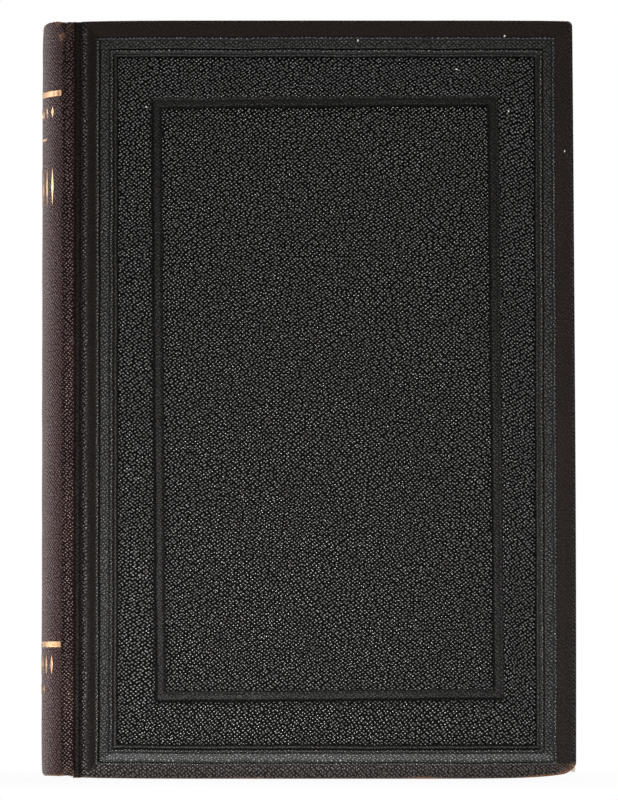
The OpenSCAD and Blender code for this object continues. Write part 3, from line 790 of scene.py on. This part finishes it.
def spine_section(s):
    """Half section of the spine leather from the middle of the back to the groove, as x, distance from the middle
    plane, outward direction, grained and faded: an arc of a circle through the shoulder's edge, a slight dip at
    the edge of the stiffener, the shoulder's flatter crown, and a quarter turn down into the groove."""
    edge_x = SHOULDER_X - s.shoulder_width
    edge = FACE - s.shoulder_drop
    bulge = edge_x - SPINE_LOW.x
    radius = (edge ** 2 + bulge ** 2) / (2 * bulge)
    axis = SPINE_LOW.x + radius
    limit = math.asin(edge / radius)
    a = np.linspace(0, limit * 0.965, BACK_STEPS)
    back = np.stack([axis - radius * np.cos(a), radius * np.sin(a), -np.cos(a), np.sin(a)], 1)
    crown_r = ((s.shoulder_width / 2) ** 2 + s.shoulder_rise ** 2) / (2 * s.shoulder_rise)
    half = math.asin(s.shoulder_width / 2 / crown_r)
    b = np.linspace(-half * 0.80, half * 0.80, CROWN_STEPS)
    crown_x, crown_y = edge_x + s.shoulder_width / 2, edge + s.shoulder_rise - crown_r
    crown = np.stack([crown_x + crown_r * np.sin(b), crown_y + crown_r * np.cos(b), np.sin(b), np.cos(b)], 1)
    start, finish = crown[-1], np.array([SHOULDER_X, edge - 0.6 * MM, 1.0, 0.0])
    q = np.linspace(0, math.pi / 2, TURN_STEPS + 1)[1:, None]
    turn = np.concatenate([
        start[:1] + (finish[0] - start[0]) * np.sin(q),
        finish[1] + (start[1] - finish[1]) * np.cos(q), np.sin(q), np.cos(q)], 1)
    section = np.concatenate([back, crown, turn])
    grained = np.concatenate([np.full(len(back), 0.5), np.full(len(crown), 0.72), np.zeros(len(turn))])
    faded = np.concatenate([np.zeros(len(back)), np.full(len(crown), 0.8), np.ones(len(turn))])
    return section, grained, faded


def spine_surface(s):
    """The spine's leather: the half section and its mirror image carried from tail to head, rolled over each end
    in a half circle towards the hollow and a little way back down inside. Painted shade darkens it towards the
    shoulders."""
    half, grained, faded = spine_section(s)
    # Painted shade: the back darkens towards the shoulders, and the shoulders and their walls carry a fixed share.
    spine_painted_shade = 0.78 * smooth_step(0.3, 1.0, np.linspace(0, 1, BACK_STEPS))
    hollow = np.concatenate([spine_painted_shade, np.full(CROWN_STEPS, 0.45), np.full(TURN_STEPS, 0.4)])
    grained, faded, hollow = (np.concatenate([v[:0:-1], v]) for v in (grained, faded, hollow))
    section = np.concatenate([half[:0:-1] * np.array([1, -1, 1, -1]), half])
    across = np.concatenate([[0], np.cumsum(np.hypot(*np.diff(section[:, :2], axis=0).T))])
    across -= across[-1] / 2

    roll = s.cap_roll
    turn = np.linspace(0, math.pi, ROLL_STEPS + 1)[1:]
    rise = roll * np.sign(np.sin(turn)) * np.abs(np.sin(turn)) ** 0.75
    inward = roll * (1 - np.cos(turn))
    flap = np.array([0.9, 1.8, 2.6]) * MM
    body = np.linspace(0, 1, BODY_ROWS)
    low = 0.75 * MM              # height of the tail cap's lower edge
    z = np.concatenate([(low + roll + flap)[::-1], (low + roll - rise)[::-1],
                        low + roll + (HEIGHT - low - 2 * roll) * body, HEIGHT - roll + rise, HEIGHT - roll - flap])
    inside = np.full(len(flap), 2 * roll)
    depth = np.concatenate([inside, inward[::-1], np.zeros(len(body)), inward, inside])
    path = np.concatenate([[0], np.cumsum(np.hypot(np.diff(z), np.diff(depth)))])
    first = len(flap) + len(turn)
    path += z[first] - path[first]

    z, depth, path = z[:, None], depth[:, None], path[:, None]
    across = across[None, :]
    x, y, out_x, out_y = (section[None, :, k] for k in range(4))
    offset = -depth - 0.09 * MM + 0.02 * MM * ripple(path, across, 17 * MM, 70)
    ends = np.exp(-np.minimum(z, HEIGHT - z) / (3.2 * MM))
    behind = np.exp(-((y / (12 * MM)) ** 2))
    offset = offset - 0.40 * MM * ends
    x = x + offset * out_x * (1 - 0.85 * np.clip(out_x, 0, 1))
    y = y + offset * out_y
    beside = smooth_step(13 * MM, 18 * MM, np.abs(y))
    z = z + np.where(z < HEIGHT / 2, 0.45 * behind + 0.35 * beside, -0.85 * beside) * ends * MM
    z = z + ends * 0.10 * MM * ripple(across, path, 3 * MM, 71)
    points = np.stack(np.broadcast_arrays(x, y, z), -1)
    shape = points.shape[:2]
    across, path = np.broadcast_arrays(across, path)
    shoulder = SPINE_HIGH.y + 0.6 * MM       # about where a shoulder begins, rolled out flat

    def spot(at_across, at_path, wide, tall):
        return np.exp(-((across - at_across) / wide) ** 2 - ((path - at_path) / tall) ** 2)

    from_end = np.abs(np.minimum(path - low, HEIGHT - path))
    wear = 0.62 * np.exp(-from_end / (1.6 * MM)) * (0.35 + 0.65 * smooth_step(-4 * MM, 8 * MM, -across))
    wear = wear + 0.6 * spot(-shoulder + 0.4 * MM, HEIGHT - 4.5 * MM, 3.2 * MM, 6 * MM)
    wear = wear + 1.1 * spot(-shoulder - 1.5 * MM, 1.2 * MM, 3.4 * MM, 2.6 * MM)
    wear = wear * (0.75 + 0.45 * ripple(across, path, 6 * MM, 72))
    grained, faded, hollow = (np.broadcast_to(v[None, :], shape) for v in (grained, faded, hollow))
    grained = grained * (1 - 0.4 * np.clip(wear, 0, 1))
    rolled = np.stack([across, path, np.zeros(shape)], -1)
    return points, {"rolled_out": rolled, "grained": grained, "wear": np.clip(wear, 0, 2), "faded": faded,
                    "hollow": hollow}


class BOOK_OT_spine(bpy.types.Operator):
    """Make the leather of the rounded spine, its two shoulders and its rolled caps"""
    bl_idname = "book.spine"
    bl_label = "Spine leather"

    def execute(self, context):
        leather = context.scene.book_leather
        material = leather_material("Spine leather", leather, leather.spine_colour, leather.spine_grain_depth,
                                    SPINE_GLOSS)
        material.node_tree.nodes["Principled BSDF"].inputs["Specular Tint"].default_value = SPINE_TINT
        points, attributes = spine_surface(context.scene.book_spine)
        faces = quads(*points.shape[:2])[:, ::-1]
        piece = make_piece("spine_skin", points, faces, material, attributes, thickness=0.3 * MM)
        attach(piece, SPINE_BODY)
        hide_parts("spine_leather")
        return {"FINISHED"}


# Joints

GROOVE_ROWS, GROOVE_COLUMNS = 220, 33
HINGE_ROWS, HINGE_COLUMNS = 150, 25


def groove_surface(s, side):
    """Leather along a joint: a round-bottomed trough from the shoulder's wall to the foot of the board, whose
    depth follows one minus a power of the distance from its middle."""
    t = np.linspace(0, 1, GROOVE_COLUMNS)[None, :]
    z = np.linspace(0.3 * MM, HEIGHT - 0.45 * MM, GROOVE_ROWS)[:, None]
    start, end = SHOULDER_X - 0.4 * MM, JOINT_X + 0.35 * MM
    x = start + (end - start) * t
    brim = FACE - s.shoulder_drop - 0.30 * MM
    floor = FACE - s.groove_depth
    y = brim - (brim - floor) * (1 - np.abs(2 * t - 1) ** 2.6)
    y = y + 0.05 * MM * ripple(x, z, 9 * MM, 80 + side) * (1 - np.abs(2 * t - 1) ** 2)
    x, y, z = np.broadcast_arrays(x, y, z)
    return np.stack([x, y, z], -1), np.stack([x, z, np.zeros(x.shape)], -1)


def inner_hinge_surface():
    """Strip of endpaper across a joint on the inside, level from the shoulder of the pages to the board."""
    x = np.linspace(PAGES_LOW.x + 6.5 * MM, PASTE_LOW.x + 0.4 * MM, HINGE_COLUMNS)[None, :]
    z = np.linspace(LEAF_LOW.z + 0.2 * MM, LEAF_HIGH.z - 0.2 * MM, HINGE_ROWS)[:, None]
    return np.stack(np.broadcast_arrays(x, INNER - 0.06 * MM, z), -1)


class BOOK_OT_joints(bpy.types.Operator):
    """Make the leather in the groove along each joint and the strip of endpaper across each joint on the inside"""
    bl_idname = "book.joints"
    bl_label = "Joints"

    def execute(self, context):
        leather = context.scene.book_leather
        paper = context.scene.book_paper
        joint_leather = leather_material("Joint leather", leather, leather.cover_colour, leather.spine_grain_depth,
                                         JOINT_GLOSS)
        # Painted shade: the hollow value darkens the whole groove.
        looks = {"grained": 0.22, "wear": 0.0, "faded": 1.0, "hollow": 0.75}
        hinge_paper = paper_material("Hinge paper", tuple(paper.leaf_colour), tuple(paper.stain_colour))
        for name, side in (("front", FRONT), ("back", BACK)):
            points, rolled = groove_surface(context.scene.book_spine, side)
            attributes = {key: np.full(points.shape[:2], value) for key, value in looks.items()}
            groove = make_piece(name + "_joint_leather", mirrored(points, side), quads(*points.shape[:2]),
                                joint_leather, {"rolled_out": rolled, **attributes}, merge=0.001 * MM)
            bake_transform(groove)
            strip = inner_hinge_surface()
            hinge = make_piece(name + "_inner_hinge", mirrored(strip, side), quads(*strip.shape[:2]), hinge_paper,
                               merge=0.001 * MM)
            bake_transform(hinge)
        return {"FINISHED"}


# Pages

PAGE_LEVEL_STEPS, PAGE_TALL_STEPS = 50, 90             # along the head and tail of a leaf, and along its height


def page_surface(p, s):
    """The sewn pages: for each step across the thickness one closed outline in x and z, from the rounded back to
    the hollow fore-edge. Both follow the same circle, a chord of which is the block's thickness. Leaves stand
    out or back by small random amounts, and each gathering dips a little at its edges."""
    half = -LEAF_HIGH.y
    rng = np.random.default_rng(7)
    y = np.linspace(-half, half, p.columns)
    spine_edge = SPINE_HIGH.y - s.shoulder_rise
    bulge = SHOULDER_X - s.shoulder_width - SPINE_LOW.x
    outer = (spine_edge ** 2 + bulge ** 2) / (2 * bulge)
    radius = outer - BACK_LAYERS
    axis = SPINE_LOW.x + outer
    fore_axis = PAGES_HIGH.x + math.sqrt(radius ** 2 - half ** 2)
    section = (y + half) / (2 * half) * p.gatherings
    dip = 0.10 * MM * np.abs(2 * (section % 1) - 1) ** 4
    jitter = rng.normal(0, 0.045 * MM, (3, p.columns))
    back = axis - np.sqrt(radius ** 2 - y ** 2)
    fore = fore_axis - np.sqrt(radius ** 2 - y ** 2) - dip - np.abs(jitter[0])
    tail = PAGES_LOW.z + dip + np.abs(jitter[1])
    head = PAGES_HIGH.z - dip - np.abs(jitter[2])
    level = np.linspace(0, 1, PAGE_LEVEL_STEPS + 1)[:-1]
    tall = np.linspace(0, 1, PAGE_TALL_STEPS + 1)[:-1]

    def run(start, end, t):
        return start[:, None] + (end - start)[:, None] * t[None, :]

    def outline(a, b, c, d):
        return np.concatenate([run(a, b, level), run(b, c, tall), run(c, d, level), run(d, a, tall)], 1)

    x = outline(back, fore, fore, back)
    z = outline(tail, tail, head, head)
    wave = 0.05 * MM * ripple(z, y[:, None] * 3, 60 * MM, 90)
    x = x + np.where(x > 0, wave, 0)
    return np.stack([x, np.broadcast_to(y[:, None], x.shape), z], -1)


class BOOK_OT_pages(bpy.types.Operator):
    """Make the sewn pages with their uneven cut edges, and give the endpapers their finish"""
    bl_idname = "book.pages"
    bl_label = "Pages"

    def execute(self, context):
        paper = context.scene.book_paper
        edges = paper_material("Cut pages", tuple(paper.page_colour), tuple(paper.stain_colour), streaked=True)
        points = page_surface(paper, context.scene.book_spine)
        rows, columns = points.shape[:2]
        faces = quads(rows, columns, closed=True).tolist()
        faces += [list(range(columns)), list(range((rows - 1) * columns, rows * columns))[::-1]]
        piece = make_piece("sewn_pages", points, faces, edges, merge=0.0005 * MM)
        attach(piece, SPINE_BODY)
        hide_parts("text_block")
        leaf = paper_material("Endpaper", tuple(paper.leaf_colour), tuple(paper.stain_colour))
        for node in ("front_flyleaf", "back_flyleaf", "front_pastedown", "back_pastedown"):
            dress(node, leaf)
        return {"FINISHED"}


# Headbands

BAND_STEPS, BAND_SIDES = 420, 16


def headband_surface(p, up):
    """A silk headband: a rounded cord along the back of the pages, whose radius rises and falls with each turn
    of thread as the absolute sine of the distance along it."""
    low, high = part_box("head_band" if up > 0 else "tail_band")
    half = high.y
    bulge = high.x - low.x - BAND_W
    outer = (half ** 2 + bulge ** 2) / (2 * bulge)
    along = np.linspace(-1, 1, BAND_STEPS + 1)[:, None]
    angle = along * math.asin(half / outer)
    turn = np.linspace(0, 2 * math.pi, BAND_SIDES + 1)[None, :-1]
    travel = angle * outer
    rib = 0.09 * MM * np.abs(np.sin(math.pi * travel / p.thread_pitch + 0.35 * turn))
    reach = 0.74 * MM + rib
    ends = np.sqrt(np.clip(1 - np.abs(along) ** 40, 0, 1))
    out = outer - BAND_W / 2 + reach * np.cos(turn) * ends
    rise = BAND_W / 2 + reach * np.sin(turn) * ends
    base = PAGES_HIGH.z if up > 0 else PAGES_LOW.z
    x = low.x + outer - out * np.cos(angle)
    y = out * np.sin(angle)
    z = np.broadcast_to(base + up * rise, x.shape)
    strand = np.broadcast_to(np.floor(travel / p.thread_pitch / 3) % 2, x.shape)
    return np.stack([x, y, z], -1), strand


class BOOK_OT_headbands(bpy.types.Operator):
    """Make the silk headbands at both ends of the back"""
    bl_idname = "book.headbands"
    bl_label = "Headbands"

    def execute(self, context):
        trim = context.scene.book_trim
        silk = silk_material(trim)
        for node, up in (("head_band", 1), ("tail_band", -1)):
            points, strand = headband_surface(trim, up)
            rows, columns = points.shape[:2]
            faces = quads(rows, columns, closed=True)
            piece = make_piece(node + "_silk", points, faces, silk, {"strand": strand}, merge=0.001 * MM)
            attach(piece, SPINE_BODY)
            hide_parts(node)
        return {"FINISHED"}


class BOOK_OT_linings(bpy.types.Operator):
    """Give the spine linings, cloth and sewing cords their finish"""
    bl_idname = "book.linings"
    bl_label = "Linings and cords"

    def execute(self, context):
        for node, finish in (("spine_inlay", "Spine card"), ("spine_mull", "Mull"), ("spine_lining", "Lining paper")):
            dress(node, fibre_material(finish))
        cord = fibre_material("Sewing cord")
        for node in frame["nodes"]:
            if node.startswith("sewing_cord"):
                dress(node, cord)
        return {"FINISHED"}


class BOOK_OT_gilding(bpy.types.Operator):
    """Give the gilt rules and lozenges of the spine their worn gold leaf"""
    bl_idname = "book.gilding"
    bl_label = "Gilding"

    def execute(self, context):
        gold = gold_material(context.scene.book_trim)
        for node in frame["nodes"]:
            if "gilt" in node:
                dress(node, gold)
        return {"FINISHED"}


# Fraying

# Pale flecks on the front cover, in millimetres: x, z, depth below the face and radius
FLECKS = ((15.7, 228.6, 0.1, 0.3), (61.2, 229.9, 0.15, 0.34), (46.3, 219.6, 0.0, 0.28), (62.4, 206.6, 0.0, 0.26),
          (79.7, 194.2, 0.9, 0.3), (-49.9, 207.9, 0.0, 0.24))


def hairs(roots, headings, lengths, seed, radius=0.07 * MM):
    """Torn fibres: each a thin tube along a quadratic curve from its root, first along its
    heading, then bent aside by a random vector, with a radius that runs out to nothing at the tip."""
    rng = np.random.default_rng(seed)
    count, steps, sides = len(roots), 7, 5
    t = np.linspace(0, 1, steps)[None, :, None]
    aside = rng.normal(0, 0.45, (count, 1, 3)) * lengths[:, None, None]
    centre = roots[:, None, :] + headings[:, None, :] * lengths[:, None, None] * t + aside * t ** 2
    ring = np.linspace(0, 2 * math.pi, sides + 1)[:-1]
    first = np.cross(headings, rng.normal(0, 1, (count, 3)))
    first /= np.linalg.norm(first, axis=1, keepdims=True)
    second = np.cross(headings, first)
    around = np.cos(ring)[None, :, None] * first[:, None, :] + np.sin(ring)[None, :, None] * second[:, None, :]
    width = radius * (1.02 - t[..., None]) * rng.uniform(0.6, 1.4, (count, 1, 1, 1))
    points = centre[:, :, None, :] + around[:, None, :, :] * width
    faces = quads(steps, sides, closed=True)[None] + (np.arange(count) * steps * sides)[:, None, None]
    return points.reshape(-1, 3), faces.reshape(-1, 4)


def fleck_surface(places, seed):
    """Pale flakes on the front cover, given by x, z, depth below the face and radius: lenses whose outline wavers
    with the angle and whose two faces rise and fall by the square root of one minus the distance squared."""
    rng = np.random.default_rng(seed)
    x, z, below, radius = (np.array(places) * MM).T[:, :, None, None]
    rings, sides = 9, 14
    angle = np.linspace(0, 2 * math.pi, sides + 1)[None, None, :-1]
    part = np.linspace(0, math.pi, rings)[None, :, None]
    second, fifth = rng.uniform(0, 6, x.shape), rng.uniform(0, 6, x.shape)
    outline = 1 + 0.25 * np.cos(2 * angle + second) + 0.12 * np.cos(5 * angle + fifth)
    reach = radius * outline * np.sin(part)
    y = FACE - below + 0.35 * radius * np.cos(part) + 0 * angle
    points = np.stack([x + reach * np.cos(angle), -y, z + reach * np.sin(angle)], -1)
    faces = quads(rings, sides, closed=True)[None] + (np.arange(len(places)) * rings * sides)[:, None, None]
    return points.reshape(-1, 3), faces.reshape(-1, 4)


class BOOK_OT_fraying(bpy.types.Operator):
    """Make the torn fibres at the rubbed corner and the spine's ends, and the pale flecks on the cover"""
    bl_idname = "book.fraying"
    bl_label = "Fraying and flecks"

    def execute(self, context):
        fibre = fibre_material("Torn fibre")
        rng = np.random.default_rng(21)
        # name, body, number of fibres, middle, spread in millimetres and heading
        places = (
            ("corner_fibres", "front_cover", 130, Vector((FORE_X - 2.2 * MM, -FACE + 2.4 * MM, 3.7 * MM)),
             (1.9, 1.0, 1.3), (0.5, -0.3, -0.6)),
            ("head_cap_fibres", SPINE_BODY, 26, Vector((SPINE_LOW.x + 1.5 * MM, -5 * MM, HEIGHT - 1.9 * MM)),
             (0.7, 4.0, 0.5), (-0.5, -0.1, 0.7)),
            ("tail_joint_fibres", SPINE_BODY, 18, Vector((SHOULDER_X - 1.6 * MM, -FACE + 2.6 * MM, 1.6 * MM)),
             (1.2, 0.4, 0.5), (0.3, -0.5, -0.5)),
        )
        for name, body, count, centre, spread, heading in places:
            roots = np.array(centre) + rng.uniform(-1, 1, (count, 3)) * np.array(spread) * MM
            way = np.array(heading) + rng.normal(0, 0.35, (count, 3))
            way /= np.linalg.norm(way, axis=1, keepdims=True)
            points, faces = hairs(roots, way, rng.uniform(0.4, 1.1, count) * MM, count)
            piece = make_piece(name, points, faces, fibre)
            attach(piece, body)
        flake = fibre_material("Pale flake")
        points, faces = fleck_surface(FLECKS, 33)
        piece = make_piece("surface_flecks", points, faces, flake, merge=0.001 * MM)
        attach(piece, "front_cover")
        return {"FINISHED"}


# Stage

class BOOK_OT_stage(bpy.types.Operator):
    """Make the pale floor, the white surroundings, the soft lamps and the camera"""
    bl_idname = "book.stage"
    bl_label = "Stage"

    def execute(self, context):
        stage = context.scene.book_stage
        scene = context.scene
        scene.view_settings.view_transform = "Standard"
        make_floor()
        make_world(stage)
        add_lamp("low_front_lamp", (-0.05, -0.30, 0.012), (0.0, 0.0, 0.10), 0.10, 0.020, stage.low_light)
        add_lamp("spine_side_lamp", (-0.80, 0.34, 0.20), (0.0, 0.0, 0.12), 0.25, 0.4, stage.side_light)
        add_lamp("high_lamp", (0.20, -0.5, 1.0), (0.0, 0.0, 0.1), 0.5, 0.5, stage.high_light)
        add_lamp("back_lamp", (0.35, 1.2, 0.75), (0.0, 0.0, 0.1), 0.8, 0.8, stage.back_light)
        data = bpy.data.cameras.new("camera")
        data.sensor_width = 36.0
        data.lens = data.sensor_width * stage.camera_distance / math.cos(stage.look_up) / stage.view_height
        data.clip_end = 20.0
        camera = bpy.data.objects.new("camera", data)
        rise = stage.camera_distance * math.tan(stage.look_up)
        aim_x, aim_z = 0.54 * MM, HEIGHT / 2 - 0.5 * MM      # the middle of the picture, on the front cover
        camera.location = (aim_x, -FACE - stage.camera_distance, aim_z - rise)
        camera.rotation_euler = (math.pi / 2 + stage.look_up, 0, 0)
        scene.collection.objects.link(camera)
        scene.camera = camera
        return {"FINISHED"}


def make_floor():
    """A round pale floor, matt white near the book and plain white further off."""
    material, tree, shader = new_material("Pale floor")
    shader.inputs["Base Color"].default_value = (0.88, 0.88, 0.88, 1.0)
    shader.inputs["Roughness"].default_value = 0.9
    white = add_node(tree, "ShaderNodeEmission", {"Color": (1, 1, 1, 1), "Strength": 1.0})
    light = add_node(tree, "ShaderNodeLightPath")
    seen = maths(tree, "MAXIMUM", light.outputs["Is Camera Ray"], light.outputs["Is Glossy Ray"])
    seen = maths(tree, "MAXIMUM", seen, light.outputs["Is Transmission Ray"])
    distance = add_node(tree, "ShaderNodeVectorMath", {0: object_place(tree)}, operation="LENGTH").outputs["Value"]
    far = mapped(tree, distance, 0.10, 0.3, 0.93, 1.0)
    mix = add_node(tree, "ShaderNodeMixShader", {0: times(tree, seen, far), 1: shader.outputs[0], 2: white.outputs[0]})
    tree.links.new(mix.outputs[0], tree.nodes["Material Output"].inputs["Surface"])
    sides, radius = 96, 1.5
    angle = np.linspace(0, 2 * math.pi, sides + 1)[:-1]
    rim = np.stack([radius * np.cos(angle), radius * np.sin(angle), np.zeros(sides)], 1)
    floor = make_piece("floor", rim, [list(range(sides))], material)


def make_world(stage):
    """Surroundings that the camera sees as plain white. Gloss reflects white from behind and less from in front,
    by the Y part of the direction."""
    world = bpy.data.worlds.new("Studio")
    bpy.context.scene.world = world
    world.use_nodes = True
    tree = world.node_tree
    out = tree.nodes["World Output"]
    tree.nodes.remove(tree.nodes["Background"])
    way = add_node(tree, "ShaderNodeTexCoord").outputs["Generated"]
    parts = add_node(tree, "ShaderNodeSeparateXYZ", {0: way})
    gloss = mapped(tree, parts.outputs["Y"], 0.2, 0.95, 0.01, 1.0)
    light = add_node(tree, "ShaderNodeLightPath")
    glossy = maths(tree, "MAXIMUM", light.outputs["Is Glossy Ray"], light.outputs["Is Transmission Ray"])
    strength = mixed(tree, glossy, stage.fill, gloss)
    strength = mixed(tree, light.outputs["Is Camera Ray"], strength, 1.0)
    background = add_node(tree, "ShaderNodeBackground", {"Color": (1, 1, 1, 1), "Strength": strength})
    tree.links.new(background.outputs[0], out.inputs["Surface"])


def add_lamp(name, place, aim, width, height, power):
    """A soft rectangular lamp aimed at a point."""
    data = bpy.data.lights.new(name, "AREA")
    data.shape = "RECTANGLE"
    data.size, data.size_y = width, height
    data.energy = power
    lamp = bpy.data.objects.new(name, data)
    lamp.location = place
    lamp.rotation_euler = (Vector(aim) - Vector(place)).to_track_quat("-Z", "Y").to_euler()
    bpy.context.scene.collection.objects.link(lamp)


OPERATORS = (
    BOOK_OT_stage, BOOK_OT_covers, BOOK_OT_spine, BOOK_OT_joints, BOOK_OT_pages,
    BOOK_OT_headbands, BOOK_OT_linings, BOOK_OT_gilding, BOOK_OT_fraying,
)


class BOOK_PT_panel(bpy.types.Panel):
    """The pieces of the book and their settings"""
    bl_label = "Antique book"
    bl_idname = "BOOK_PT_panel"
    bl_space_type = "VIEW_3D"
    bl_region_type = "UI"
    bl_category = "Book"

    def draw(self, context):
        for operator in OPERATORS:
            self.layout.operator(operator.bl_idname)
        for name, group in SETTINGS.items():
            box = self.layout.box()
            for field in group.__annotations__:
                box.prop(getattr(context.scene, name), field)


CLASSES = (*SETTINGS.values(), *OPERATORS, BOOK_PT_panel)


def register():
    for item in CLASSES:
        bpy.utils.register_class(item)
    for name, group in SETTINGS.items():
        setattr(bpy.types.Scene, name, bpy.props.PointerProperty(type=group))


def unregister():
    for name in SETTINGS:
        delattr(bpy.types.Scene, name)
    for item in reversed(CLASSES):
        bpy.utils.unregister_class(item)


def main():
    register()
    bpy.ops.book.stage()
    bpy.ops.book.covers()
    bpy.ops.book.spine()
    bpy.ops.book.joints()
    bpy.ops.book.pages()
    bpy.ops.book.headbands()
    bpy.ops.book.linings()
    bpy.ops.book.gilding()
    bpy.ops.book.fraying()


if __name__ == "__main__":
    main()
